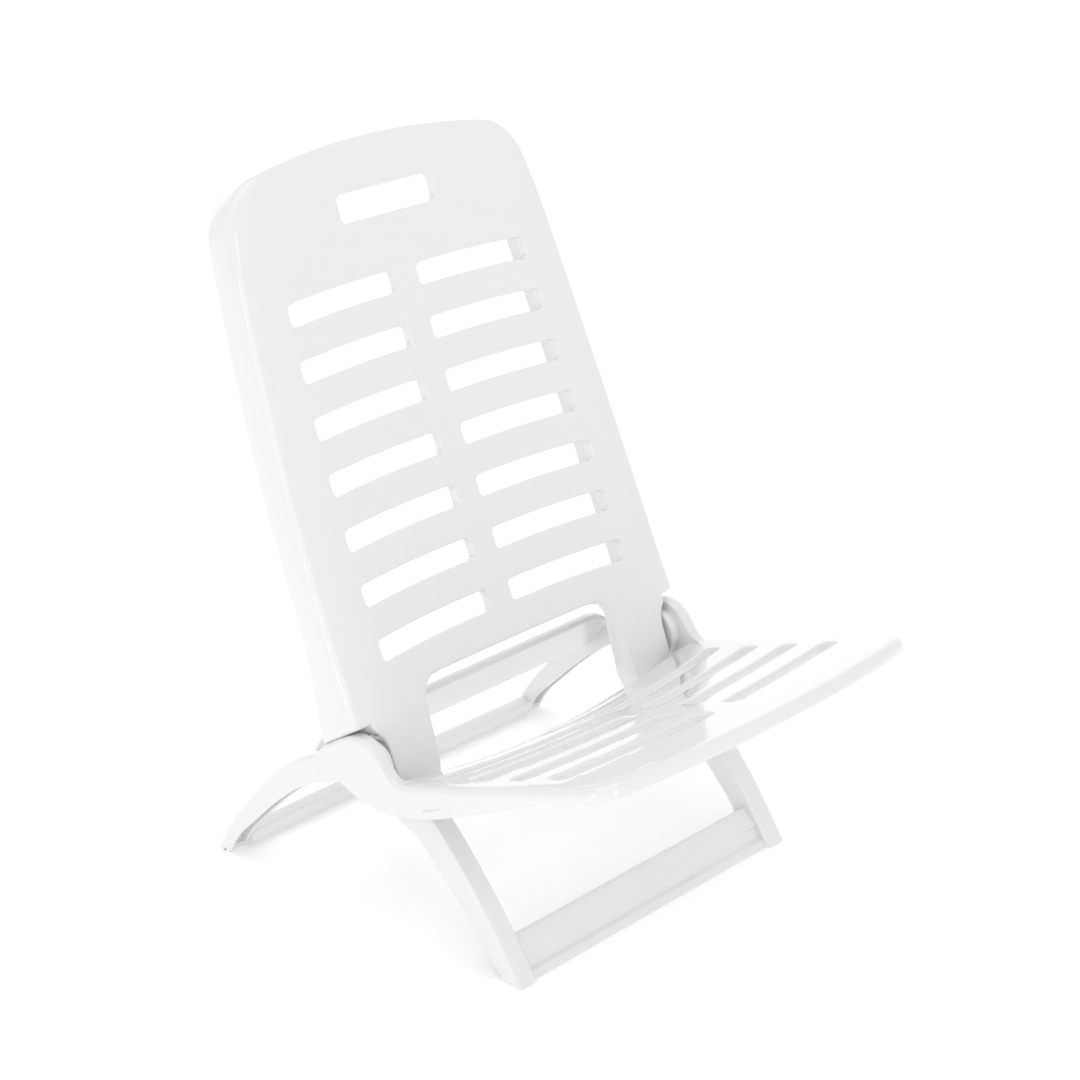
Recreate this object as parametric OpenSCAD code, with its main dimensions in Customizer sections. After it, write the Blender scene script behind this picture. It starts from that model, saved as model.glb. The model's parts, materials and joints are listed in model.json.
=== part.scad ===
// Low folding beach chair: two resin mouldings that turn on two hidden pins.
// X runs across the chair, Y towards its back and Z up. The feet stand on Z = 0.
// Side views are drawn in y and z, with y counted from the front feet.

/* [Whole chair] */
// Half of the seat's width at its rims
half_width = 190; // [188:1:192]
// Distance of the fold axis behind the front feet
pivot_y = 163; // [162:0.5:164]
// Height of the fold axis above the floor
pivot_z = 150; // [149:0.5:151]
// Wall thickness of both mouldings
wall = 4; // [3:0.5:5]

/* [Backrest] */
// Length of the panel from its shoulders to its top
back_length = 465; // [455:1:470]
// Lean of the panel at its shoulders, from upright
back_lean = 25.5; // [25:0.1:26]
// Radius of the panel's lengthwise curve
back_curve_r = 4890; // [4500:10:6000]
// Depth of the hollow across the panel at its shoulders
hollow_low = 15.5; // [14:0.5:18]
// Depth of the hollow across the panel at its top
hollow_high = 12; // [9:0.5:14]
// Depth of the rim that is turned back
back_rim = 31; // [26:1:33]
// Roundness of the panel's front edge
edge_r = 5; // [3:0.5:8]
// Rows of slots
back_rows = 7; // [5:1:7]
// Distance from one row of slots to the next
slot_pitch = 47.2; // [46:0.2:48]
// Height of one slot
slot_height = 19; // [16:1:22]
// Middle of the highest row, from the shoulders
top_row = 338.5; // [330:0.5:342]
// Half of the hand grip's width
grip_half = 53; // [45:1:55]

/* [Seat] */
// Length of the seat along its slope, at the middle
seat_length = 286; // [280:1:290]
// Slope of the seat, front end up
seat_slope = 21.5; // [21:0.1:22]
// Depth of the hollow across the seat at its rear edge
seat_hollow = 23; // [20:1:26]
// Rows of slots
seat_rows = 4; // [3:1:4]

/* [Legs] */
// Outer half width across the front legs
front_half = 166.5; // [165:0.5:167]
// Width of one front leg
front_leg_w = 20; // [17:1:21]
// Outer half width across the rear legs
rear_half = 196; // [195:1:198]
// Width of one rear leg
rear_leg_w = 20; // [18:1:22]

/* [Fold] */
// Radius of a pivot pin
pin_r = 5; // [4:0.5:6]
// Radial play of the pins in the backrest frame
pin_play = 0.06; // [0.03:0.01:0.1]

/* [Hidden] */
white = [0.93, 0.93, 0.93];
mid_y = 120.42;                // middle of the chair's length, from the front feet
gap = 0.4;                     // air between the mouldings where one rests on the other
collar = 8;                    // depth of the walls round the slots
inner_r = front_half - front_leg_w;
arm_in = front_half + 3;       // inner face of an arm
arm_out = half_width + 3;      // outer face of an arm
recess_x = 179;                // bottom of the recess that a strip turns in
recess_r = 43;
hub_r = 22;                    // boss that the pin sits in
pin_in = 150;                  // inner end of a pin
pin_out = half_width - 2;      // outer end of a pin
strip_top = -4;                // end of the strips, measured along the panel
shoulder = [165.5, 186.5];     // front edge of the panel at its shoulders
shoulder_back = [207, 157];    // the shoulders' rear lower corner
seat_rear = [139, 147.8];      // start of the seat's rim line
seat_edge_y = 136.4;           // rear edge of the seat
arch_r = 690;                  // arch of the panel's top and of the seat's front

module side(x0, x1) translate([x0, -mid_y, 0]) rotate([90, 0, 90]) linear_extrude(x1 - x0) children();
module front() translate([0, 300, 0]) rotate([90, 0, 0]) linear_extrude(600) children();
module along_pivot(x0, x1, r)
    translate([x0, pivot_y - mid_y, pivot_z]) rotate([0, 90, 0]) cylinder(h = x1 - x0, r = r, $fn = 64);
module mirrored(right) mirror([right ? 0 : 1, 0, 0]) children();
module both() for (e = [0, 1]) mirror([e, 0, 0]) children();

// A closed slab between an upper and a lower grid of na by nb points
function grid_faces(na, nb, base, flip) = [
    for (i = [0:na - 2], j = [0:nb - 2], k = [0:1])
        let (a = base + i * nb + j, b = a + 1, c = a + nb, d = c + 1, t = k == 0 ? [a, c, b] : [b, c, d])
        flip ? [t[0], t[2], t[1]] : t
];
function grid_rim(na, nb) = concat(
    [for (j = [0:nb - 2]) j],
    [for (i = [0:na - 2]) i * nb + nb - 1],
    [for (j = [nb - 1:-1:1]) (na - 1) * nb + j],
    [for (i = [na - 1:-1:1]) i * nb]
);
function rim_faces(na, nb) = let (n = na * nb, rim = grid_rim(na, nb), m = len(rim)) [
    for (k = [0:m - 1], half = [0:1])
        let (a = rim[k], b = rim[(k + 1) % m])
        half == 0 ? [a, a + n, b] : [b, a + n, b + n]
];
module slab(over, under, na, nb)
    polyhedron(concat(over, under), concat(grid_faces(na, nb, 0, true),
        grid_faces(na, nb, na * nb, false), rim_faces(na, nb)), convexity = 6);
function mirrored_list(half) = concat([for (k = [len(half) - 1:-1:1]) -half[k]], half);
function mirrored_outline(half) = concat(half, [for (k = [len(half) - 1:-1:0]) [-half[k][0], half[k][1]]]);

// A slot with round corners, drawn in a panel's own plane, whose inner end is bow higher. A margin widens it
module slot(x0, x1, s, height, bow, margin) {
    r = 4;
    linear_extrude(120, center = true) offset(r = margin) hull() for (e = [-1, 1]) {
        translate([x0 + r, s + bow + e * (height / 2 - r)]) circle(r, $fn = 16);
        translate([x1 - r, s + e * (height / 2 - r)]) circle(r, $fn = 16);
    }
}

// Backrest frame -----------------------------------------------------------
// The panel is drawn flat in x and s, where s runs up it from the shoulders
roll_w = 52;
corner_r = 50;
corner_s = back_length - 61;
corner_x = back_half(corner_s) - corner_r;
function back_half(s) = half_width + 1.6 - 0.000141 * s * s;
// Distance of a point inside the panel's outline
function back_inset(x, s) = min(back_half(s) - abs(x),
    arch_r - norm([x, s - back_length + arch_r]),
    abs(x) > corner_x && s > corner_s ? corner_r - norm([abs(x) - corner_x, s - corner_s]) : corner_r);
function rounded(inset, r) = let (k = r - max(0, min(r, inset))) r - sqrt(r * r - k * k);
function back_flat(s) = s * s / (2 * back_curve_r);
function back_hollow(x, s) = 5 * pow(max(0, s) / back_length, 4) - 3
    + (hollow_low + (hollow_high - hollow_low) * s / back_length) * pow(x / half_width, 2);
// The face falls back again along its sides, over a width of roll_w, to just in front of the edge
function back_roll(x, s) = (back_hollow(back_half(s), s) - 2)
    * pow(max(0, 1 - max(0, back_half(s) - abs(x)) / roll_w), 2);
function back_height(x, s) = back_flat(s) + back_hollow(x, s) - back_roll(x, s)
    - rounded(back_inset(x, s), edge_r);
module on_back() translate([0, shoulder[0] - mid_y, shoulder[1]]) rotate([90 - back_lean, 0, 0]) children();
// depth 0 makes the full depth of the rim, and any other depth a skin of that thickness
module back_slab(depth, reach = 0) {
    xs = mirrored_list([0, 35, 70, 100, 125, 145, 155, 163, 170, 175, 180, 184, 187, 189.5, 193]);
    ss = [-40, 0, 60, 130, 200, 270, 330, 375, 400, 418, 432, 442, 450, 456, 460.5, 464, 470];
    na = len(xs);
    nb = len(ss);
    over = [for (x = xs, s = ss) [x, s, back_height(x, s)]];
    under = [for (p = over) [p[0], p[1], depth > 0 ? p[2] - depth : back_flat(p[1]) - back_rim - reach]];
    slab(over, under, na, nb);
}
module back_outline(inset) {
    turn = asin(corner_x / (arch_r - corner_r));
    sides = [for (k = [0:6]) let (s = -8 + k * (corner_s + 8) / 6) [back_half(s) - inset, s]];
    corner = [for (k = [1:6]) let (a = k * (90 - turn) / 6)
        [corner_x + (corner_r - inset) * cos(a), corner_s + (corner_r - inset) * sin(a)]];
    arch = [for (k = [1:6]) let (a = turn * (1 - k / 7))
        [(arch_r - inset) * sin(a), back_length - arch_r + (arch_r - inset) * cos(a)]];
    polygon(mirrored_outline(concat(sides, corner, arch)));
}
function slot_end(s) = back_half(s) - 47.2 + 5.8 * s / top_row;
module back_slots(margin) {
    for (row = [0:back_rows - 1]) {
        s = top_row - row * slot_pitch;
        both() slot(13.5, slot_end(s), s - 3, slot_height, 4, margin);
    }
    slot(-grip_half, grip_half, 408.5, 24, 0, margin);
}
// Lengthwise ribs behind the outer ends of the slots
module back_rib_outline() both() polygon(concat(
    [for (s = [25, 200, 365]) [slot_end(s) + 1, s]],
    [for (s = [365, 200, 25]) [slot_end(s) + 4, s]]));
module back_rim_outline(thickness) difference() {
    back_outline(0);
    back_outline(thickness);
}
module back_opening() linear_extrude(120, center = true) hull() for (e = [-1, 1]) {
    translate([e * 93, -2.5]) circle(20, $fn = 32);
    translate([e * 113, -20]) circle(1, $fn = 16);
}
// Where each side of the rim deepens towards the arm that it rests on
module shoulder_side() polygon([shoulder, shoulder_back, [207.5, 166], [214.5, 195.5], [221.5, 230],
    [231, 264], [245, 305], [215, 300], [190, 240]]);
module shoulder_foot() polygon([shoulder, shoulder_back, shoulder_back + [2.3, 3.3], shoulder + [2.3, 3.3]]);
module back_panel() color(white) difference() {
    union() {
        on_back() difference() {
            union() {
                intersection() {
                    back_slab(wall);
                    linear_extrude(200, center = true) back_outline(0.2);
                }
                intersection() {
                    back_slab(0);
                    linear_extrude(200, center = true) union() {
                        back_rim_outline(wall);
                        back_rib_outline();
                    }
                }
                // Collars behind the slots
                intersection() {
                    back_slab(collar);
                    back_slots(2.4);
                }
            }
            back_slots(0);
            back_opening();
            translate([-250, -60, -100]) cube([500, 60 + strip_top, 200]);
        }
        both() intersection() {
            union() {
                side(140, half_width + 2) shoulder_side();
                side(177, half_width + 2) shoulder_foot();
            }
            on_back() back_slab(0, 40);
            on_back() linear_extrude(200, center = true) union() {
                back_rim_outline(wall + 0.4);
                translate([176, -30]) square([14, 33]);
            }
        }
    }
    // Air above the arms
    side(-250, 250) polygon([[100, 100], [140, 175], shoulder + [0, gap],
        shoulder_back + [0, gap], [240, 120]]);
}
// A strip joins the panel to a front leg and holds the pin's bore
strip_face = [[160.1, 184.6], [156.5, 176.5], [152, 168.2], [147, 156.4],
    [141.7, 142], [139.6, 136.8], [138, 130]];
module strip_side() polygon(concat(strip_face, [[163, 130], [175, 140], [183, 155], [188, 171.3]]));
module strip_wing() polygon(concat(strip_face, [[143, 130], [151, 140], [166, 155], [188, 171.3]]));
module strip_front() polygon([[113, 195], [116, 166], [119.4, 136], [124, 129], [front_half, 129],
    [front_half, 168], [171, 175], [176.5, 183], [176.5, 195]]);
module back_strip(right) color(white) mirrored(right) difference() {
    intersection() {
        union() {
            side(100, 180) strip_wing();
            side(inner_r, 180) strip_side();
        }
        front() strip_front();
    }
    // Hollow of the wing, open to the back
    intersection() {
        side(120 + wall, inner_r - wall) translate([wall * 1.3, 0]) strip_wing();
        translate([-200, -200, 134]) cube([400, 400, 55]);
    }
    along_pivot(140, 180, pin_r + pin_play);
}
module back_strip_left() back_strip(false);
module back_strip_right() back_strip(true);
module front_leg_side() polygon([[0, 0], [14.7, 20.2], [33.6, 45.7], [49.7, 64.7], [84.5, 101.5],
    [103.2, 120.5], [130, 130], [163, 130], [139.4, 104.3], [102.7, 76.9], [66.5, 44.4],
    [44.7, 20.9], [24.2, 0]]);
module front_leg(right) color(white) mirrored(right) difference() {
    side(inner_r, front_half) front_leg_side();
    intersection() {
        side(inner_r + wall, front_half - wall) translate([wall * 0.8, -wall * 0.8]) front_leg_side();
        translate([-200, -200, 8]) cube([400, 400, 113]);
    }
}
module front_leg_left() front_leg(false);
module front_leg_right() front_leg(true);
// A channel that is open to the back, with a step along its face
module front_crossbar() color(white) side(-inner_r, inner_r) polygon([[4, 1], [9, 6], [13, 7],
    [19, 15], [18.5, 18.5], [31.5, 31.5], [44, 22.5], [41.5, 19.2], [32, 26], [23, 17.3],
    [24, 13.5], [17, 4.5], [19, 0.6], [4, 0.6]]);

// Seat frame ---------------------------------------------------------------
// The seat is drawn flat in x and t, where t runs forwards up its slope
lip_r = 9;
function seat_front(x) = seat_length - x * x / (2 * arch_r);
function seat_height(x, t) = -4.4 * (1 - pow(1 - min(t, 134) / 134, 2))
    - seat_hollow * exp(-max(t, 0) / 62) * (1 - pow(x / half_width, 2))
    - rounded(min(seat_front(x) - t, half_width - abs(x)), lip_r);
module on_seat() translate([0, seat_rear[0] - mid_y, seat_rear[1]])
    rotate([-seat_slope, 0, 0]) mirror([0, 1, 0]) children();
module seat_slab(depth) {
    xs = mirrored_list([0, 35, 70, 100, 130, 155, 172, 181, 184, 187, 189, 192]);
    ts = [-10, 5, 20, 35, 55, 80, 120, 170, 230];
    lips = [0, 0.4, 0.7, 0.9, 1];
    na = len(xs);
    nb = len(ts) + len(lips);
    over = [for (x = xs) each let (start = seat_front(x) - lip_r) concat(
        [for (t = ts) let (u = t * start / (seat_length - lip_r)) [x, u, seat_height(x, u)]],
        [for (f = lips) let (u = start + f * lip_r) [x, u, seat_height(x, u)]])];
    under = [for (p = over) [p[0], p[1], p[2] - depth]];
    slab(over, under, na, nb);
}
module seat_outline(inset) {
    r = 34;
    corner = [for (k = [0:6]) let (a = k * 12)
        [half_width - r + (r - inset) * cos(a), seat_front(156) - r - 1 + (r - inset) * sin(a)]];
    lip = [for (x = [145:-25:20]) [x, seat_front(x) + 0.5 - inset]];
    polygon(mirrored_outline(concat([[half_width - inset, -30]], corner, lip)));
}
module seat_slots(margin) for (row = [0:seat_rows - 1])
    both() slot(13.5, 167, 48.6 + row * 47, slot_height, 20, margin);
module seat_panel() color(white) difference() {
    on_seat() difference() {
        union() {
            intersection() {
                seat_slab(wall);
                linear_extrude(200, center = true) seat_outline(0);
            }
            intersection() {
                seat_slab(24);
                linear_extrude(200, center = true) difference() {
                    seat_outline(0);
                    seat_outline(wall);
                }
            }
            // Collars under the slots
            intersection() {
                seat_slab(collar);
                seat_slots(2.4);
            }
        }
        seat_slots(0);
    }
    // Rear edge between the arms, the ends of the arms, and the rims' lower edge
    translate([-250, seat_edge_y - mid_y, 50]) cube([500, 100, 200]);
    both() translate([arm_in, 109 - mid_y, 50]) cube([100, 200, 200]);
    side(-200, 200) polygon([[109, 127], [79, 138], [33, 161], [-1, 178], [-55, 208.5], [-95, 222],
        [-126, 234.5], [-150, 247.5], [-150, 60], [150, 60], [150, 110], [109, 110]]);
}
// The arm's top is a straight rest behind, and an arc about the fold axis before it
rest_r = 30.3;
module arm_side() polygon(concat(
    [for (a = [138:-15:48]) [pivot_y + rest_r * cos(a), pivot_z + rest_r * sin(a)]],
    [shoulder_back, [183, 133], [174, 128], [152, 124], [128, 123], [109, 127], [109, 155.5], [118, 153.5],
    [127, 156.5], [134, 162]]));
module arm(right) color(white) mirrored(right) difference() {
    side(arm_in, arm_out) arm_side();
    // Recess that the flared strip turns in
    difference() {
        along_pivot(arm_in - 1, recess_x, recess_r);
        along_pivot(arm_in - 2, recess_x + 1, hub_r);
    }
    along_pivot(arm_in - 1, pin_out, pin_r);
}
module arm_left() arm(false);
module arm_right() arm(true);
module rear_leg_side() polygon([shoulder_back, [216, 147], [254, 123.5], [289.5, 88], [329, 43],
    [355, 0], [338, 0], [322.5, 24.5], [299, 49.5], [259, 88.5], [217, 119], [183, 133]]);
module rear_leg(right) color(white) mirrored(right) difference() {
    side(rear_half - rear_leg_w, rear_half) rear_leg_side();
    intersection() {
        side(rear_half - rear_leg_w + wall, rear_half - wall)
            translate([-wall * 0.7, -wall * 0.8]) rear_leg_side();
        translate([-400, 180 - mid_y, 8]) cube([800, 400, 122]);
    }
}
module rear_leg_left() rear_leg(false);
module rear_leg_right() rear_leg(true);
module between_rear_legs() side(rear_leg_w - rear_half, rear_half - rear_leg_w) children();
module rear_stop_bar() color(white) between_rear_legs() polygon([[228, 152], [234, 152.5],
    [236.5, 149], [258, 107.5], [252.5, 106], [232, 147.5], [226, 147]]);
module rear_crossbar() color(white) between_rear_legs() polygon([[330, 16.5], [345, 18], [350, 7], [346, 6],
    [342, 13.5], [334, 12.5], [334.5, 5], [330.5, 5]]);
module pivot_pin(right) color([0.75, 0.75, 0.76]) mirrored(right) along_pivot(pin_in, pin_out, pin_r);
module pivot_pin_left() pivot_pin(false);
module pivot_pin_right() pivot_pin(true);

back_panel();
back_strip_left();
back_strip_right();
front_leg_left();
front_leg_right();
front_crossbar();
seat_panel();
arm_left();
arm_right();
rear_leg_left();
rear_leg_right();
rear_stop_bar();
rear_crossbar();
pivot_pin_left();
pivot_pin_right();
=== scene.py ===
"""Low folding beach chair of glossy white resin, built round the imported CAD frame.

Shapes are worked out in millimetres. Side views use y from the front feet and z from the floor.
The backrest and the seat are one shell each: an outline drawn flat, filled, bent to its side view,
and given rounded edges and turned-back rims by rings that follow the outline. The arms with the rear
legs, the hubs, the ribs and the bars are lofts of closed sections.
"""

import json
import math

import bpy
import bmesh
import numpy as np
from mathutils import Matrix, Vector
from mathutils.geometry import delaunay_2d_cdt


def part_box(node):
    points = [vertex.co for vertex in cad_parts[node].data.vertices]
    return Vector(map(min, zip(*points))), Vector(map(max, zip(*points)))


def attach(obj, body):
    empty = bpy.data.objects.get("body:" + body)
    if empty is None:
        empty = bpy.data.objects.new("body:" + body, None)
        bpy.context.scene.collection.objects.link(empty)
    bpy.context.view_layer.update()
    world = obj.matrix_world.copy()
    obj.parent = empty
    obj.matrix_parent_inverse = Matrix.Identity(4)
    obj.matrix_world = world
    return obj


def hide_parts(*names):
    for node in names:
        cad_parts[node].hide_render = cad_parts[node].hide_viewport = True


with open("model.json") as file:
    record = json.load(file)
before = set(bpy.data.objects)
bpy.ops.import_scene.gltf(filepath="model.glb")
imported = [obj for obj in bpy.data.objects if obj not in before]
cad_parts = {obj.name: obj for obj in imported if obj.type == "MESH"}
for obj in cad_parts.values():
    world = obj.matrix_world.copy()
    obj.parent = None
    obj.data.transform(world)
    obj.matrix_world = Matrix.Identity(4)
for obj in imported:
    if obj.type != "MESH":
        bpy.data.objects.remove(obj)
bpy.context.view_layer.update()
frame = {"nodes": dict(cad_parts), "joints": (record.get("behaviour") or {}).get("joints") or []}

MM = 0.001
FEET_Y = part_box("front_leg_left")[0].y / MM          # the front feet's y in the CAD frame
HALF_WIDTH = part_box("back_panel")[1].x / MM - 1      # half of the seat's width
FRONT_LEG_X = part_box("front_leg_right")[1].x / MM    # outer face of a front leg
REAR_LEG_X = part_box("rear_leg_right")[1].x / MM      # outer face of a rear leg
# y and z of the fold's axis
PIVOT = np.array([frame["joints"][0]["pos_m"][1] / MM - FEET_Y, frame["joints"][0]["pos_m"][2] / MM])
SKIN = 3.2                                           # thickness of the panels
WALL = 3.6                                           # thickness of the rims
ARCH_R = 690                                         # arch of the panel's top and of the seat's front
MESH_STEP = 7                                        # spacing of the points that fill the panels


# Numbers and outlines ----------------------------------------------------------

def smooth(t):
    t = np.clip(t, 0, 1)
    return t * t * (3 - 2 * t)


def ramp(value, start, end):
    """0 at start, 1 at end, with a soft beginning and end."""
    return smooth((np.asarray(value, float) - start) / (end - start))


def evened(values, times):
    """The values along a closed outline, each averaged with its neighbours, times over."""
    for _ in range(times):
        values = (np.roll(values, 1) + values + np.roll(values, -1)) / 3
    return values


def spline(points, step):
    """A Catmull-Rom curve through points, as points about step apart."""
    p = np.array(points, float)
    p = np.vstack([2 * p[0] - p[1], p, 2 * p[-1] - p[-2]])
    dense = []
    for a, b, c, d in zip(p, p[1:], p[2:], p[3:]):
        for t in np.linspace(0, 1, 24, endpoint=False):
            dense.append(0.5 * (2 * b + (c - a) * t + (2 * a - 5 * b + 4 * c - d) * t * t
                                + (3 * b - a - 3 * c + d) * t ** 3))
    dense.append(p[-2])
    return spaced(np.array(dense), step)


def lengths(p):
    """The distance along the polyline p to each of its points."""
    return np.concatenate([[0], np.cumsum(np.linalg.norm(np.diff(p, axis=0), axis=1))])


def spaced(p, step):
    """The polyline p again, with its points about step apart."""
    p = np.array(p, float)
    return by_count(p, max(2, int(round(lengths(p)[-1] / step)) + 1))


def by_count(p, n):
    """The polyline p again, as n evenly spaced points."""
    run = lengths(p)
    at = np.linspace(0, run[-1], n)
    return np.stack([np.interp(at, run, p[:, k]) for k in range(p.shape[1])], axis=1)


def arc(cx, cy, r, start, end, n):
    """n points round the centre (cx, cy), from start to end degrees."""
    a = np.radians(np.linspace(start, end, n))
    return np.stack([cx + r * np.cos(a), cy + r * np.sin(a)], axis=1)


def rounded_outline(corners, step):
    """A closed outline from corners (x, y, radius), with points about step apart on its straights."""
    bends = []
    n = len(corners)
    for k in range(n):
        before, here, after = (np.array(corners[(k + d) % n][:2], float) for d in (-1, 0, 1))
        r = corners[k][2]
        u = (before - here) / np.linalg.norm(before - here)
        v = (after - here) / np.linalg.norm(after - here)
        half = math.acos(np.clip(u @ v, -1, 1)) / 2
        reach = r / math.tan(half)
        centre = here + (u + v) / np.linalg.norm(u + v) * r / math.sin(half)
        turns = max(3, int(math.degrees(math.pi - 2 * half) / 15) + 1)
        start, end = here + u * reach - centre, here + v * reach - centre
        a0 = math.atan2(start[1], start[0])
        sweep = (math.atan2(end[1], end[0]) - a0 + math.pi) % (2 * math.pi) - math.pi
        bend = [centre + r * np.array([math.cos(a0 + sweep * t), math.sin(a0 + sweep * t)])
                for t in np.linspace(0, 1, turns)]
        bends.append(bend)
    points = []
    for bend, following in zip(bends, bends[1:] + bends[:1]):
        points += bend
        count = int(np.linalg.norm(following[0] - bend[-1]) / step)
        for t in range(1, count):
            points.append(bend[-1] + (following[0] - bend[-1]) * t / count)
    return np.array(points)


def side_normals(p, solid_inside):
    """Unit normals of the closed outline p. They point into the material, inside p or round it."""
    along = np.roll(p, -1, axis=0) - p
    along /= np.linalg.norm(along, axis=1)[:, None] + 1e-12
    both = along + np.roll(along, 1, axis=0)
    both /= np.linalg.norm(both, axis=1)[:, None] + 1e-12
    left = np.stack([-both[:, 1], both[:, 0]], axis=1)
    area = np.sum(p[:, 0] * np.roll(p[:, 1], -1) - np.roll(p[:, 0], -1) * p[:, 1]) / 2
    return left if (area > 0) == solid_inside else -left


def inside(p, outline):
    """Which of the points p lie in the closed outline."""
    x, y = p[:, 0][:, None], p[:, 1][:, None]
    x0, y0 = outline[:, 0], outline[:, 1]
    x1, y1 = np.roll(x0, -1), np.roll(y0, -1)
    crossing = (y0 > y) != (y1 > y)
    at = x0 + (y - y0) * (x1 - x0) / np.where(y1 == y0, 1e-12, y1 - y0)
    return np.sum(crossing & (x < at), axis=1) % 2 == 1


def fill(loops, spacing):
    """Triangles over the outline loops[0] less the holes in loops[1:]. Returns points and triangles,
    with the loops' own points first and in order, and a staggered grid between them."""
    rim = np.vstack(loops)
    low, high = rim.min(0), rim.max(0)
    xs = np.arange(low[0] + spacing / 2, high[0], spacing)
    ys = np.arange(low[1] + spacing / 2, high[1], spacing * 0.87)
    grid = np.array([[x + (spacing / 2 if j % 2 else 0), y] for j, y in enumerate(ys) for x in xs])
    grid = grid[inside(grid, loops[0])]
    for hole in loops[1:]:
        grid = grid[~inside(grid, hole)]
    nearest = np.full(len(grid), np.inf)
    for p in rim:
        nearest = np.minimum(nearest, np.hypot(grid[:, 0] - p[0], grid[:, 1] - p[1]))
    grid = grid[nearest > 0.6 * spacing]
    points = np.vstack([rim, grid])
    edges = []
    start = 0
    for loop in loops:
        n = len(loop)
        edges += [(start + k, start + (k + 1) % n) for k in range(n)]
        start += n
    _, _, faces, origin, _, _ = delaunay_2d_cdt([Vector(p) for p in points], edges, [], 0, 1e-6)
    own_index = [ids[0] for ids in origin]
    faces = np.array([[own_index[v] for v in f] for f in faces])
    middle = points[faces].mean(axis=1)
    keep = inside(middle, loops[0])
    for hole in loops[1:]:
        keep &= ~inside(middle, hole)
    return points, faces[keep]


# Meshes ------------------------------------------------------------------------
SHARP_ANGLE = 42               # degrees from which an edge stays sharp


def new_piece(name, vertices, faces, body, material, nodes=()):
    """A smooth closed piece from vertices in millimetres. It rides on body and stands for nodes."""
    mesh = bpy.data.meshes.new(name)
    mesh.from_pydata([Vector((x * MM, (y + FEET_Y) * MM, z * MM)) for x, y, z in vertices], [], faces)
    work = bmesh.new()
    work.from_mesh(mesh)
    bmesh.ops.remove_doubles(work, verts=work.verts, dist=1e-6)
    bmesh.ops.recalc_face_normals(work, faces=work.faces)
    work.to_mesh(mesh)
    work.free()
    mesh.shade_smooth()
    mesh.set_sharp_from_angle(angle=math.radians(SHARP_ANGLE))
    piece = bpy.data.objects.new(name, mesh)
    bpy.context.scene.collection.objects.link(piece)
    mesh.materials.append(material)
    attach(piece, body)
    if nodes:
        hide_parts(*nodes)


def edge_rings(r, wall, rim, skin):
    """(inset, depth) rings from the front face, round an edge of radius r, to the back of a rim of depth
    rim and thickness wall, and up its inner side to the back of the skin. r and rim are arrays."""
    rings = [(r * (1 - math.sin(a)), r * (1 - math.cos(a))) for a in np.radians(np.linspace(0, 90, 7))]
    lip = 0.7                  # roundness of the rim's rear edges
    edge = [(0, lip), (0.3 * lip, 0.3 * lip), (lip, 0)]
    rings += [(inset + 0 * r, rim - short + 0 * r) for inset, short in edge]
    rings += [(wall - inset + 0 * r, rim - short + 0 * r) for inset, short in edge[::-1]]
    inner = np.maximum(r - wall, 0.8)
    top = np.maximum(skin + 0 * r, r - inner)
    for a in np.radians(np.linspace(90, 0, 5)):
        rings.append((wall + inner * (1 - math.sin(a)), top + inner * (1 - math.cos(a))))
    return rings


def shell(name, outer, outer_rings, holes, hole_rings, place, body, material, nodes):
    """A moulding: the filled outline's front face, the rings round each edge, and the back face.
    place turns a point of the flat drawing and its depth into x, y and z."""
    loops = [(outer, side_normals(outer, True), outer_rings)]
    loops += [(h, side_normals(h, False), hole_rings) for h in holes]
    stacks = []
    for p, n, rings in loops:
        stacks.append([(p + n * np.reshape(inset, (-1, 1)), depth + np.zeros(len(p)))
                       for inset, depth in rings])
    vertices, faces = [], []

    def add(points, depth):
        first = len(vertices)
        vertices.extend(place(points[:, 0], points[:, 1], depth))
        return first

    ends = []
    for stack in stacks:
        starts = [add(points, depth) for points, depth in stack]
        n = len(stack[0][0])
        for a, b in zip(starts, starts[1:]):
            faces.extend((a + k, a + (k + 1) % n, b + (k + 1) % n, b + k) for k in range(n))
        ends.append((starts[0], starts[-1], n))
    for side in (0, -1):
        flat = [stack[side][0] for stack in stacks]
        points, triangles = fill(flat, MESH_STEP)
        index = []
        for first, last, n in ends:
            start = first if side == 0 else last
            index += list(range(start, start + n))
        inner = points[len(index):]
        depth_at = stacks[0][side][1][0] if side == 0 else SKIN
        first = add(inner, np.full(len(inner), depth_at))
        index += list(range(first, first + len(inner)))
        faces.extend(tuple(index[v] for v in t) for t in triangles)
    new_piece(name, vertices, faces, body, material, nodes)


def loft(sections):
    """Vertices and faces of a capped tube through closed sections with equal point counts."""
    n = len(sections[0])
    vertices = [tuple(p) for section in sections for p in section]
    faces = []
    for k in range(len(sections) - 1):
        a, b = k * n, (k + 1) * n
        faces += [(a + j, a + (j + 1) % n, b + (j + 1) % n, b + j) for j in range(n)]
    faces.append(tuple(range(n - 1, -1, -1)))
    faces.append(tuple(range(len(vertices) - n, len(vertices))))
    return vertices, faces


# Backrest moulding ---------------------------------------------------------------
BACK_LENGTH = 465              # from the shoulders up to the top of the panel
BACK_LEAN = 25.5               # degrees from upright at the shoulders
CORNER_R = 50                  # the panel's top corners
CORNER_DROP = 61               # how far below the panel's top its corners start
CURVE_R = 4890                 # lengthwise curve of the panel
SHOULDER = np.array([165.5, 186.5])                   # y and z of the shoulders' lower edge
SHOULDER_SLOPE = 0.176         # how much the shoulders' undersides drop for each unit of depth
UP = np.array([math.sin(math.radians(BACK_LEAN)), math.cos(math.radians(BACK_LEAN))])
OUT = np.array([-UP[1], UP[0]])                       # the panel's front normal
LEG_W = FRONT_LEG_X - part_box("front_leg_right")[0].x / MM
FACE_AT_STRIP = 6.2            # how far the panel's face stands forward of its edge at the strips
ROLL_W = 52                    # width over which the panel's face falls back along its sides
TOE_R = 4.8                    # roundness of the front feet's corners
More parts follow.
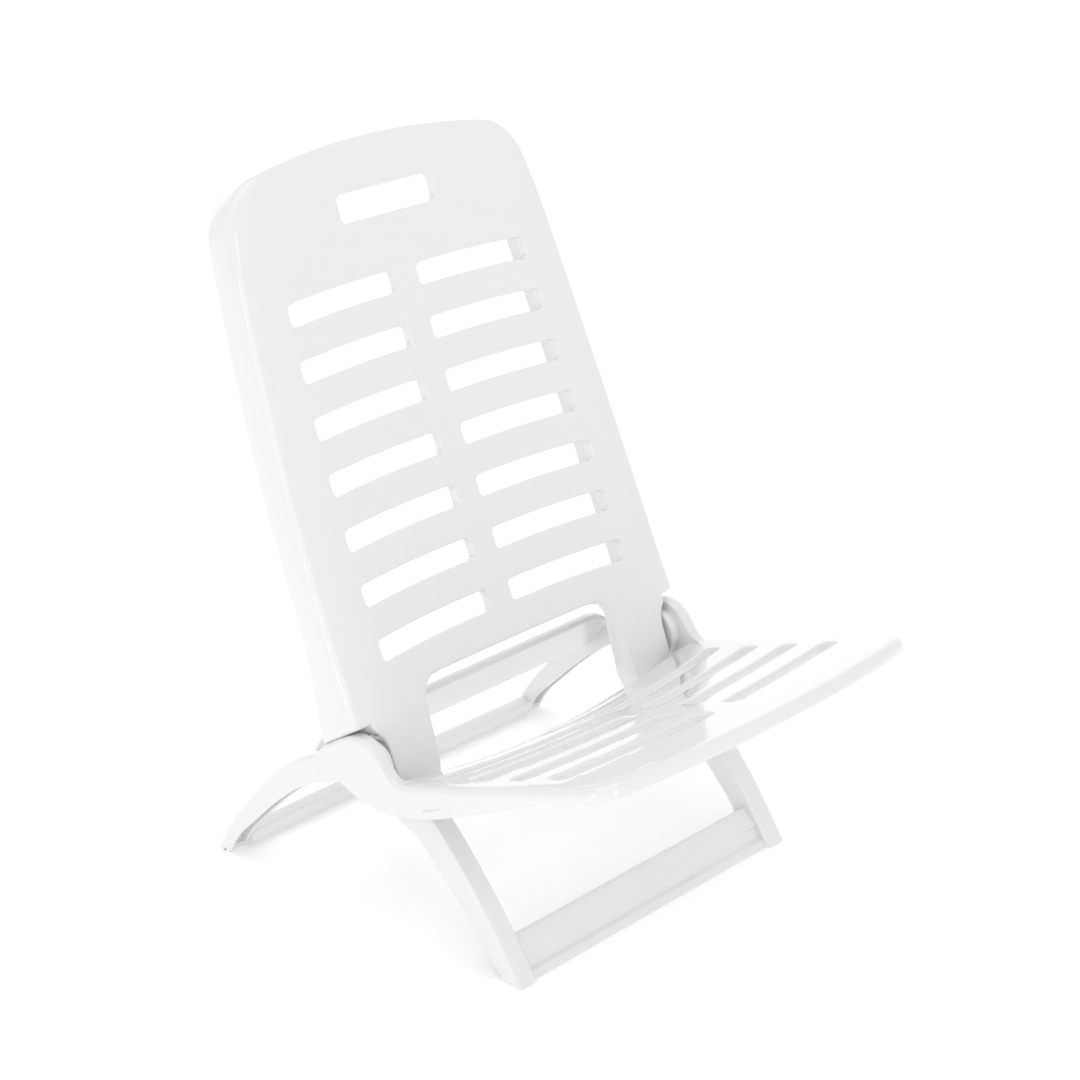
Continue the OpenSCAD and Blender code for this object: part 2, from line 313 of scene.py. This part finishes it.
SLOT_ROWS = 7
SLOT_PITCH = 47.2              # distance from one row of slots to the next
TOP_ROW = 338.5                # the highest row's distance from the shoulders
SLOT_START = 13.5              # inner end of every slot, from the middle
SLOT_HEIGHT = 19
SLOT_CORNER = 4.6
SLOT_SAG = 1.6                 # how far a slot's middle bows upwards
GRIP = (53, 396.5, 420.5)      # the hand grip's half width and its lower and upper edge
RIB = (0.9, 3.9)               # a rib's sides, outside the slots' outer ends
RIB_DEPTH = 21.5
STRIP_DEPTH = 30.5             # depth of the strips and of the legs' upper ends
FOOT_DEPTH = 20

# The front line of a strip and a front leg, from the panel down to the floor
LEG_FRONT = spline([SHOULDER + OUT * FACE_AT_STRIP, (156.6, 180), (152.9, 171), (148.6, 160),
                    (144.4, 149.5), (141.4, 141), (137.6, 133.5), (129, 128.6), (116, 125), (103.2, 118.6),
                    (84.5, 101.5), (67, 83.6), (49.7, 64.7), (33.6, 45.7), (14.7, 20.2), (0, 0)], 1.5)
LEG_RUN = lengths(LEG_FRONT)
LEG_END = LEG_RUN[-1]


def back_half(s):
    """Half of the panel's width, s above the shoulders."""
    return HALF_WIDTH + 1.6 - 0.000141 * s * s


def hollow(s):
    """Depth of the panel's hollow across its width."""
    return 15.5 - 3.5 * np.clip(s, 0, None) / BACK_LENGTH


def crown(x, up):
    """Height of the hollowed face at x, before its curve along its length."""
    return 5 * (up / BACK_LENGTH) ** 4 - 3 + hollow(up) * (x / HALF_WIDTH) ** 2


def face_height(x, s):
    """Height of the panel's face in front of the straight line up from the shoulders."""
    up = np.clip(s, 0, None)
    side = np.clip(1 - np.clip(back_half(up) - np.abs(x), 0, None) / ROLL_W, 0, None)
    roll = (crown(back_half(up), up) - 2) * side ** 2
    height = up * up / (2 * CURVE_R) + crown(x, up) - roll
    fade = ramp(-s, 0, 42)
    return height * (1 - fade) + FACE_AT_STRIP * fade


def leg_point(run):
    """The front line's y and z, run down from the shoulders."""
    at = np.clip(run, 0, LEG_END)
    return np.stack([np.interp(at, LEG_RUN, LEG_FRONT[:, k]) for k in (0, 1)], axis=1)


def leg_line(s):
    """Front line and its normal at -s down the strip and leg."""
    reach = 3                  # the normal is taken over this much of the line each way
    run = np.clip(-s, 0, LEG_END)
    t = leg_point(run - reach) - leg_point(run + reach)
    t /= np.linalg.norm(t, axis=1)[:, None]
    return leg_point(run), np.stack([-t[:, 1], t[:, 0]], axis=1)


def place_back(x, s, depth):
    """A point of the backrest's flat drawing, depth behind its face, as x, y and z."""
    shoulder = ramp(np.abs(x), FRONT_LEG_X + 4, FRONT_LEG_X + 10) * (1 - ramp(s, 2, 45))
    s = s - SHOULDER_SLOPE * depth * shoulder
    low = s < 0
    panel = SHOULDER + np.outer(s, UP) + (face_height(x, s) - depth)[:, None] * OUT
    p, n = leg_line(s)
    foot = ramp(-s, LEG_END - 40, LEG_END)[:, None]
    level = np.array([-1.0, 0.0])
    n = n * (1 - foot) + level * foot
    n /= np.linalg.norm(n, axis=1)[:, None]
    height = face_height(x, s) - FACE_AT_STRIP
    strip = p + (height - depth)[:, None] * n
    blend = ramp(-s, 0, 14)[:, None] * (1 - shoulder[:, None])
    straight = panel * (1 - blend) + strip * blend
    yz = np.where(low[:, None], straight, panel)
    return np.column_stack([x, yz])


def back_outline():
    """The right half of the backrest frame's outline, from its top down to the foot and up to the
    opening above the seat."""
    corner_s = BACK_LENGTH - CORNER_DROP
    corner_x = back_half(corner_s) - CORNER_R
    turn = math.degrees(math.asin(corner_x / (ARCH_R - CORNER_R)))
    arch = spaced(arc(0, BACK_LENGTH - ARCH_R, ARCH_R, 90, 90 - turn, 20), 5)
    corner = arc(corner_x, corner_s, CORNER_R, 90 - turn, 0, 18)
    sides = np.array([[back_half(s), s] for s in np.arange(corner_s - 5, 6, -5)])
    shoulder = arc(back_half(0) - 4.8, 4.8, 4.8, 0, -90, 8)
    across = np.array([[x, 0] for x in (183, 180, 178.6)])
    flare = spline([(177.2, -0.6), (176.6, -3), (174.5, -7.5), (171.2, -12), (168.2, -17),
                    (FRONT_LEG_X, -26)], 2)
    leg = np.array([[FRONT_LEG_X, s] for s in np.arange(-30, 8 - LEG_END, -5)])
    inner_x = FRONT_LEG_X - LEG_W
    foot = np.vstack([arc(FRONT_LEG_X - TOE_R, TOE_R - LEG_END, TOE_R, 0, -90, 7),
                      arc(inner_x + TOE_R, TOE_R - LEG_END, TOE_R, 270, 180, 7)])
    inner = spline([(inner_x, 9 - LEG_END), (inner_x, -LEG_END / 2 - 20), (inner_x, -98),
                    (inner_x - 3, -82), (128, -68), (120, -56), (118.6, -45), (116.2, -22), (113.2, -5)], 5)
    opening = np.vstack([arc(93, -2.5, 20, 5, 80, 8), np.array([[x, 17.5] for x in range(85, 0, -6)])])
    return np.vstack([arch[1:], corner[1:], sides, shoulder, across, flare, leg, foot, inner, opening])


def mirrored_loop(half):
    """A closed outline from its right half."""
    other = half[::-1] * [-1, 1]
    return np.vstack([half, other])


def slot_end(s):
    """Outer end of a slot of the backrest; the margin beside it narrows towards the top."""
    return back_half(s) - 47.2 + 5.8 * s / TOP_ROW


def slot(end, s, rise, side):
    """A gently curved slot with round corners, its outer end at x = end and its inner end rise higher."""
    h = SLOT_HEIGHT / 2
    ends = [(SLOT_START, s + rise - h), (end, s - h), (end, s + h), (SLOT_START, s + rise + h)]
    outline = rounded_outline([(side * x, y, SLOT_CORNER) for x, y in ends][::side], 6)
    along = (np.abs(outline[:, 0]) - SLOT_START) / (end - SLOT_START)
    outline[:, 1] += 4 * SLOT_SAG * along * (1 - along)
    return outline


def back_slots():
    """The rows of slots, and the hand grip above them."""
    slots = []
    for row in range(SLOT_ROWS):
        s = TOP_ROW - SLOT_PITCH * row
        slots += [slot(slot_end(s), s - 3, 4, side) for side in (1, -1)]
    half, low, high = GRIP
    slots.append(rounded_outline([(-half, low, 5), (half, low, 5), (half, high, 5), (-half, high, 5)], 6))
    return slots


def at_opening(x, s):
    """Which points of the outline lie round the opening above the seat."""
    return (np.abs(x) < 120) & (s > -60) & (s < 30)


def back_rim(x, s):
    """Depth of the rim at each point of the outline."""
    upper = 33 + 19 * (1 - ramp(s, -14, 98)) ** 1.5
    leg = FOOT_DEPTH + (STRIP_DEPTH - FOOT_DEPTH) * ramp(-s, LEG_END, 75)
    strip = np.where(s < -20, leg, STRIP_DEPTH)
    outer = np.where(np.abs(x) > FRONT_LEG_X + 1, upper, strip)
    opening = 9 + 15 * ramp(-s, -10, 40)
    return np.where(at_opening(x, s), opening, outer)


def build_backrest(material):
    outline = mirrored_loop(back_outline())
    x, s = outline.T
    top = ramp(s, 370, 425)
    edge = np.where(at_opening(x, s), 2.6, 2.4 + 1.8 * ramp(s, 0, 30) + 4.5 * top)
    rings = edge_rings(edge, WALL, evened(back_rim(x, s), 4), SKIN)
    hole_rings = edge_rings(np.array(1.5), 2.4, np.array(8.5), SKIN)
    nodes = ["back_panel", "back_strip_left", "back_strip_right", "front_leg_left", "front_leg_right"]
    shell("backrest_moulding", outline, rings, back_slots(), hole_rings, place_back, "back_frame",
          material, nodes)


def back_ribs(material):
    """Lengthwise ribs behind the outer ends of the slots."""
    for side, word in ((-1, "left"), (1, "right")):
        sections = []
        for s in np.arange(22, 368, 8):
            x = np.array([slot_end(s) + a for a in (RIB[0], RIB[0], RIB[1], RIB[1])])
            depth = np.array([2.5, RIB_DEPTH, RIB_DEPTH, 2.5])
            p = place_back(x, np.full(4, float(s)), depth)
            p[:, 0] *= side
            sections.append(p)
        vertices, faces = loft(sections)
        new_piece("back_rib_" + word, vertices, faces, "back_frame", material)


# Seat moulding -------------------------------------------------------------------
SEAT_SLOPE = math.radians(21.5)
SEAT_REAR = np.array([139, 147.8])   # where the rim's line starts
SEAT_LENGTH = 286
SEAT_HOLLOW = 23                     # depth of the hollow across the seat at its rear edge
SEAT_CORNER_R = 34                   # the seat's front corners
SEAT_SLOT_ROWS = 4
SEAT_SLOT_PITCH = 47
SEAT_FIRST_ROW = 48.6                # the rearmost row's distance from the rim's rear end
SEAT_SLOT_END = 167                  # outer end of the seat's slots
FORWARD = np.array([-math.cos(SEAT_SLOPE), math.sin(SEAT_SLOPE)])
SEAT_UP = np.array([math.sin(SEAT_SLOPE), math.cos(SEAT_SLOPE)])
SEAT_EDGE_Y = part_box("seat_panel")[1].y / MM - FEET_Y


def seat_front(x):
    """The drawing's t at the seat's arched front edge."""
    return SEAT_LENGTH - x * x / (2 * ARCH_R)


def seat_height(x, t):
    """Height of the seat's face over the rim's line: a slight dip along it, and the hollow across it."""
    run = 1 - np.minimum(t, 134) / 134
    fade = np.exp(-np.maximum(t, 0) / 62)
    return -4.4 * (1 - run ** 2) - SEAT_HOLLOW * fade * (1 - (x / HALF_WIDTH) ** 2)


def place_seat(x, t, depth):
    """A point of the seat's flat drawing, depth below its face, as x, y and z."""
    yz = SEAT_REAR + np.outer(t, FORWARD) + (seat_height(x, t) - depth)[:, None] * SEAT_UP
    return np.column_stack([x, yz])


def seat_back(x):
    """The drawing's t at the seat's straight rear edge."""
    return (SEAT_REAR[0] - SEAT_EDGE_Y + seat_height(x, -2.0) * SEAT_UP[0]) / -FORWARD[0]


def seat_rim(x, t):
    """Depth of the rim, down to the lower edge of the seat's sides and front."""
    low = np.array([(-150, 247.5), (-126, 234.5), (-95, 222), (-55, 208.5), (-1, 178), (33, 161), (79, 138),
                    (109, 127), (140, 124)])
    depth = np.full(len(x), 30.0)
    for d in np.arange(30, 9, -0.25):
        p = place_seat(x, t, np.full(len(x), d))
        depth = np.where(p[:, 2] < np.interp(p[:, 1], low[:, 0], low[:, 1]), d, depth)
    return depth


def seat_outline():
    """The right half of the seat's outline, from its rear edge round to its front."""
    r = SEAT_CORNER_R
    width = HALF_WIDTH
    rear = np.array([[x, seat_back(x)] for x in np.arange(0, 168, 6.0)])
    rear_corner = arc(width - 12, seat_back(178) + 12, 12, -80, -5, 7)
    side_end = seat_front(width - r) - r - 1
    side = np.array([[width, t] for t in np.arange(22, side_end - 2, 6)])
    tilt = math.degrees(math.asin((width - r) / ARCH_R))
    corner = arc(width - r, side_end, r, 0, 90 - tilt, 12)
    front = np.array([[x, seat_front(x)] for x in np.arange(width - r - 14, 0, -6)])
    return np.vstack([rear[1:], rear_corner, side, corner, front])


def seat_slots():
    return [slot(SEAT_SLOT_END, SEAT_FIRST_ROW + SEAT_SLOT_PITCH * row, 20, side)
            for row in range(SEAT_SLOT_ROWS) for side in (1, -1)]


def build_seat(material):
    outline = mirrored_loop(seat_outline())
    x, t = outline.T
    rear = (t < 12) & (np.abs(x) < 176)
    edge = evened(np.where(rear, 2.5, 7.5), 5)
    rim = evened(np.where(rear, 7, seat_rim(x, t)), 5)
    rings = edge_rings(edge, WALL, rim, SKIN)
    hole_rings = edge_rings(np.array(1.6), 2.4, np.array(10.5), SKIN)
    shell("seat_moulding", outline, rings, seat_slots(), hole_rings, place_seat, "seat_frame", material,
          ["seat_panel"])


# Arms and rear legs ----------------------------------------------------------------
HUMP_R = 30.3                  # radius of the arm's top, round the pin
HUB_R = 21.8
HUB_X = (170.5, 182)           # a hub's inner face and its outer end, inside the arm
ARM_SECTIONS, LEG_SECTIONS = 46, 60


def member_lines():
    """Matching upper and lower lines of an arm and its rear leg, in the side view."""
    hump = arc(PIVOT[0], PIVOT[1], HUMP_R, 132, 58, 9)
    arm_front = [(66, 164), (82, 160), (96, 157), (109, 155), (120, 153.8), (129, 157.2), (135.5, 163.5)]
    upper = np.vstack([arm_front, hump, [(192, 167.7), (207, 157)]])
    leg_back = [(207, 157), (216, 147.5), (235, 136), (254, 122.5), (272, 106.5), (289.5, 88), (309, 66),
                (329, 41.5), (343, 20), (355, 0)]
    lower_arm = [(66, 151), (82, 142.5), (96, 134.6), (109, 127.8), (122, 123.6), (135, 123), (150, 123.8),
                 (163, 125.6), (174, 128), (183, 132), (187, 131.6)]
    leg_front = [(187, 131.6), (201, 126), (217, 119), (239, 105), (259, 88.5), (279, 70), (299, 49.5),
                 (322.5, 24.5), (338, 0)]
    arm_top = by_count(spline(upper, 1), ARM_SECTIONS)
    arm_low = by_count(spline(lower_arm, 1), ARM_SECTIONS)
    leg_top = by_count(spline(leg_back, 1), LEG_SECTIONS)
    leg_low = by_count(spline(leg_front, 1), LEG_SECTIONS)
    return np.vstack([arm_top, leg_top[1:]]), np.vstack([arm_low, leg_low[1:]])


def member_section(top, low, x_in, x_out, open_depth, border):
    """A channel that is open below: outer side, rounded top, inner side, and back up inside it.
    open_depth runs from 0, nearly solid, to 1, and border is how far the outer side is sunk."""
    down = low - top
    height = np.linalg.norm(down)
    down = down / height
    r_out, r_in, lip, cove = 5.0, 3, 0.8, 1.5
    roof = min(height - 2.5, height - open_depth * (height - 5.5))
    path = [(x_out, height - lip)]
    path += [(x_out - border, h) for h in (height * 0.6, 11.5)] + [(x_out, 8.0), (x_out, r_out)]
    path += [(x_out - r_out + r_out * math.sin(a), r_out - r_out * math.cos(a))
             for a in np.radians(np.linspace(80, 0, 7))]
    path += [(x_in + r_in - r_in * math.sin(a), r_in - r_in * math.cos(a))
             for a in np.radians(np.linspace(0, 90, 6))]
    path += [(x_in, height - lip), (x_in + lip, height)]
    path += [(x_in + WALL - lip, height), (x_in + WALL, height - lip)]
    path += [(x_in + WALL, roof + cove), (x_in + WALL + cove, roof)]
    path += [(x_out - WALL - cove, roof), (x_out - WALL, roof + cove)]
    path += [(x_out - WALL, height - lip), (x_out - WALL + lip, height), (x_out - lip, height)]
    return np.array([[x, *(top + down * h)] for x, h in path])


def build_members(material):
    """The arms with their rear legs, whose widths change along y, and the hubs round the pins."""
    top, low = member_lines()
    middle = (top[:, 0] + low[:, 0]) / 2
    x_out = HALF_WIDTH - 1.2 + 1.2 * ramp(middle, 104, 119) + 3 * ramp(middle, 112, 168)
    x_out += (REAR_LEG_X - HALF_WIDTH - 3) * ramp(middle, 170, 235)
    x_in = 186.3 - 15 * ramp(middle, 90, 104) + 7.7 * ramp(middle, 104, 116) - 3 * ramp(middle, 196, 214)
    foot = ramp(top[:, 1], 12, 5)
    border = 1.0 * ramp(middle, 205, 230) * (1 - foot)
    opening = np.clip(ramp(middle, 100, 108) - foot, 0, 1)
    for side, word in ((-1, "left"), (1, "right")):
        sections = [member_section(*each) for each in zip(top, low, x_in, x_out, opening, border)]
        for section in sections:
            section[:, 0] *= side
        vertices, faces = loft(sections)
        nodes = ["arm_" + word, "rear_leg_" + word]
        new_piece("rear_member_" + word, vertices, faces, "seat_frame", material, nodes)
        face, end = HUB_X
        rings = []
        for x, r in ((face, 18), (face, 20), (face + 0.7, HUB_R - 0.5), (face + 1.7, HUB_R), (end, HUB_R),
                     (end, 20)):
            circle = arc(PIVOT[0], PIVOT[1], r, 0, 352.5, 48)
            rings.append([(side * x, y, z) for y, z in circle])
        vertices, faces = loft(rings)
        new_piece("hub_" + word, vertices, faces, "seat_frame", material)


# Cross bars ------------------------------------------------------------------------
DROP_LENGTH = 28               # length over which a bar's top rounds down at its ends
FLOOR_GAP = 0.4                # the least height of a bar above the floor


def bar(name, corners, reach, fillet, body, material, nodes, bow=0.0, drop=0.0):
    """A bar along X from -reach to reach, with the section corners (y, z, radius). Its ends swell by
    fillet into what they join, its middle is set back by bow, and its top rounds down by drop."""
    section = rounded_outline(corners, 4)
    outward = -side_normals(section, True)
    low, high = section[:, 1].min(), section[:, 1].max()
    ends = [reach - fillet * (1 - math.cos(a)) for a in np.radians(np.linspace(0, 90, 8))]
    ends += [reach - d for d in (3, 6, 10, 15, 20, 25)]
    both_ends = [round(side * e, 4) for side in (1, -1) for e in ends]
    xs = sorted(set(both_ends + list(np.arange(-reach + 32, reach - 31, 8))))
    sections = []
    for x in xs:
        near = max(0.0, fillet - (reach - abs(x)))
        swell = fillet - math.sqrt(max(0.0, fillet ** 2 - near ** 2))
        p = section + outward * swell
        p[:, 0] += bow * (1 - (x / reach) ** 2)
        last = min(1.0, max(0.0, 1 - (reach - abs(x)) / DROP_LENGTH))
        p[:, 1] -= drop * (1 - math.sqrt(1 - last ** 2)) * (p[:, 1] - low) / (high - low)
        p[:, 1] = np.maximum(p[:, 1], FLOOR_GAP)
        sections.append([(x, y, z) for y, z in p])
    vertices, faces = loft(sections)
    new_piece(name, vertices, faces, body, material, nodes)


def build_bars(material):
    """The stepped bar between the front feet, the stop bar, and the bar between the rear feet."""
    inner = FRONT_LEG_X - LEG_W
    front = [(4.2, 1, 0.4), (9.2, 6.3, 2), (13.2, 7.2, 2), (18.6, 14.8, 2), (18.4, 18.4, 2),
             (31.5, 31.5, 2.5), (44, 22.5, 1.2), (41.8, 19.4, 1.2), (33, 26, 1.5), (23.4, 17, 1.5),
             (23.6, 13.2, 1.5), (17.4, 4.4, 1), (19, 0.9, 0.8)]
    bar("front_crossbar_moulding", front, inner + 1.5, 2.5, "back_frame", material, ["front_crossbar"])
    rear_in = REAR_LEG_X - 20
    stop = [(227.5, 152.2, 1.5), (234, 152.5, 2.5), (236.6, 148.9, 2), (258, 107.5, 1), (252.6, 106, 1),
            (232, 147.4, 2), (226, 147, 1)]
    bar("stop_bar_moulding", stop, rear_in + 0.6, 1.5, "seat_frame", material, ["rear_stop_bar"], drop=19)
    rear = [(329, 16, 1.5), (342.5, 17.3, 2.5), (347.8, 7, 1), (344.4, 6, 1), (340, 13.2, 1.5),
            (333.2, 12, 1.5), (333.5, 4.8, 1), (329.4, 4.8, 1)]
    bar("rear_crossbar_moulding", rear, rear_in + 1, 0.8, "seat_frame", material, ["rear_crossbar"],
        bow=2.0)


# Materials -------------------------------------------------------------------------

def new_node(tree, kind, **values):
    """A shader node with these values on its sockets."""
    node = tree.nodes.new(kind)
    for key, value in values.items():
        node.inputs[key].default_value = value
    return node


def plastic(name, light, dark, roughness, ripple):
    """Glossy moulded resin: faint cloudiness, a fine ripple, and dulled and dusty patches."""
    material = bpy.data.materials.new(name)
    material.use_nodes = True
    tree = material.node_tree
    link = tree.links.new
    surface = tree.nodes["Principled BSDF"]
    surface.inputs["IOR"].default_value = 1.55
    surface.inputs["Coat IOR"].default_value = 1.7
    surface.inputs["Coat Weight"].default_value = 1.0
    surface.inputs["Coat Roughness"].default_value = 0.04
    where = tree.nodes.new("ShaderNodeTexCoord")

    cloud = new_node(tree, "ShaderNodeTexNoise", Scale=9.0, Detail=4.0, Roughness=0.55)
    link(where.outputs["Object"], cloud.inputs["Vector"])
    tint = tree.nodes.new("ShaderNodeMix")
    tint.data_type = "RGBA"
    tint.inputs["A"].default_value = (*light, 1)
    tint.inputs["B"].default_value = (*dark, 1)
    link(cloud.outputs["Fac"], tint.inputs["Factor"])

    # Dust and fine scuffs, a little darker than the resin
    scuff = new_node(tree, "ShaderNodeTexNoise", Scale=60.0, Detail=6.0, Roughness=0.7)
    link(where.outputs["Object"], scuff.inputs["Vector"])
    spots = tree.nodes.new("ShaderNodeMapRange")
    spots.inputs["From Min"].default_value = 0.62
    spots.inputs["From Max"].default_value = 0.74
    link(scuff.outputs["Fac"], spots.inputs["Value"])
    soil = tree.nodes.new("ShaderNodeMix")
    soil.data_type = "RGBA"
    soil.inputs["B"].default_value = (dark[0] * 0.86, dark[1] * 0.85, dark[2] * 0.82, 1)
    link(tint.outputs["Result"], soil.inputs["A"])
    faint = new_node(tree, "ShaderNodeMath")
    faint.operation = "MULTIPLY"
    faint.inputs[1].default_value = 0.35
    link(spots.outputs["Result"], faint.inputs[0])
    link(faint.outputs["Value"], soil.inputs["Factor"])
    link(soil.outputs["Result"], surface.inputs["Base Color"])

    dull = tree.nodes.new("ShaderNodeMapRange")
    dull.inputs["To Min"].default_value = roughness
    dull.inputs["To Max"].default_value = roughness + 0.13
    link(scuff.outputs["Fac"], dull.inputs["Value"])
    link(dull.outputs["Result"], surface.inputs["Roughness"])

    skin = new_node(tree, "ShaderNodeTexNoise", Scale=170.0, Detail=2.0, Roughness=0.5)
    link(where.outputs["Object"], skin.inputs["Vector"])
    bump = new_node(tree, "ShaderNodeBump", Strength=ripple, Distance=0.0004)
    link(skin.outputs["Fac"], bump.inputs["Height"])
    link(bump.outputs["Normal"], surface.inputs["Normal"])
    return material


# Studio ----------------------------------------------------------------------------

def stage_floor():
    """A pale floor in metres that turns up behind the chair, as the camera sees it."""
    size, rise, bend = 3.2, 1.9, 0.6
    profile = [(-size, 0.0)] + [(size - bend + bend * math.sin(a), bend - bend * math.cos(a))
                                for a in np.radians(np.linspace(0, 90, 12))] + [(size, rise)]
    work = bmesh.new()
    rows = [[work.verts.new((x, y, z)) for x in (-size, size)] for y, z in profile]
    for a, b in zip(rows, rows[1:]):
        work.faces.new((a[0], a[1], b[1], b[0]))
    mesh = bpy.data.meshes.new("floor")
    work.to_mesh(mesh)
    work.free()
    mesh.shade_smooth()
    floor = bpy.data.objects.new("floor", mesh)
    floor.rotation_euler.z = math.radians(-45)
    bpy.context.scene.collection.objects.link(floor)
    material = bpy.data.materials.new("pale_floor")
    material.use_nodes = True
    shader = material.node_tree.nodes["Principled BSDF"]
    shader.inputs["Base Color"].default_value = (0.93, 0.93, 0.93, 1)
    shader.inputs["Emission Color"].default_value = (1, 1, 1, 1)
    shader.inputs["Emission Strength"].default_value = 0.2
    shader.inputs["Roughness"].default_value = 0.7
    shader.inputs["Specular IOR Level"].default_value = 0.2
    mesh.materials.append(material)


def area_light(name, place, aim, size, power):
    """A rectangular lamp that lights the chair and shows in its gloss, but not to the camera."""
    data = bpy.data.lights.new(name, "AREA")
    data.shape = "RECTANGLE"
    data.size, data.size_y = size
    data.energy = power
    lamp = bpy.data.objects.new(name, data)
    lamp.location = place
    lamp.rotation_euler = (Vector(aim) - Vector(place)).to_track_quat("-Z", "Y").to_euler()
    lamp.visible_camera = False
    bpy.context.scene.collection.objects.link(lamp)


def studio():
    """An even white surround, a soft top light, two narrow strips for the highlights along the left
    edge, and a low lamp behind the chair."""
    world = bpy.data.worlds.new("studio")
    world.use_nodes = True
    world.node_tree.nodes["Background"].inputs["Color"].default_value = (1, 1, 1, 1)
    world.node_tree.nodes["Background"].inputs["Strength"].default_value = 0.94
    bpy.context.scene.world = world
    bpy.context.scene.view_settings.view_transform = "Standard"
    centre = (0, 0, 0.3)
    left_edge = (-0.19, 0.1, 0.4)
    area_light("top", (-0.3, 0.3, 2.6), centre, (2.0, 2.0), 5)
    area_light("left_strip", (-2.14, -0.3, 0.5), left_edge, (0.12, 1.3), 3)
    area_light("front_strip", (-0.84, -1.62, 1.0), left_edge, (0.12, 1.2), 2.4)
    area_light("horizon", (2.3, 2.5, 0.27), (0, 0, 0.27), (3.2, 0.5), 10)


def camera():
    """The view from the chair's front, on its -X side, looking down at it."""
    look_down, turn = 24.04, -45.285
    data = bpy.data.cameras.new("camera")
    data.sensor_width = 36
    data.lens = 83.2
    view = bpy.data.objects.new("camera", data)
    view.location = (-1.36016, -1.20322 + FEET_Y * MM, 1.15701)
    view.rotation_euler = (math.radians(90 - look_down), 0, math.radians(turn))
    bpy.context.scene.collection.objects.link(view)
    bpy.context.scene.camera = view


white = plastic("white_resin", (0.8, 0.8, 0.797), (0.775, 0.775, 0.772), 0.09, 0.06)
pin_grey = plastic("pin_resin", (0.72, 0.72, 0.73), (0.66, 0.66, 0.67), 0.22, 0.2)
build_backrest(white)
back_ribs(white)
build_seat(white)
build_members(white)
build_bars(white)
for word in ("left", "right"):
    pin = frame["nodes"]["pivot_pin_" + word]
    pin.data.materials.clear()
    pin.data.materials.append(pin_grey)
stage_floor()
studio()
camera()
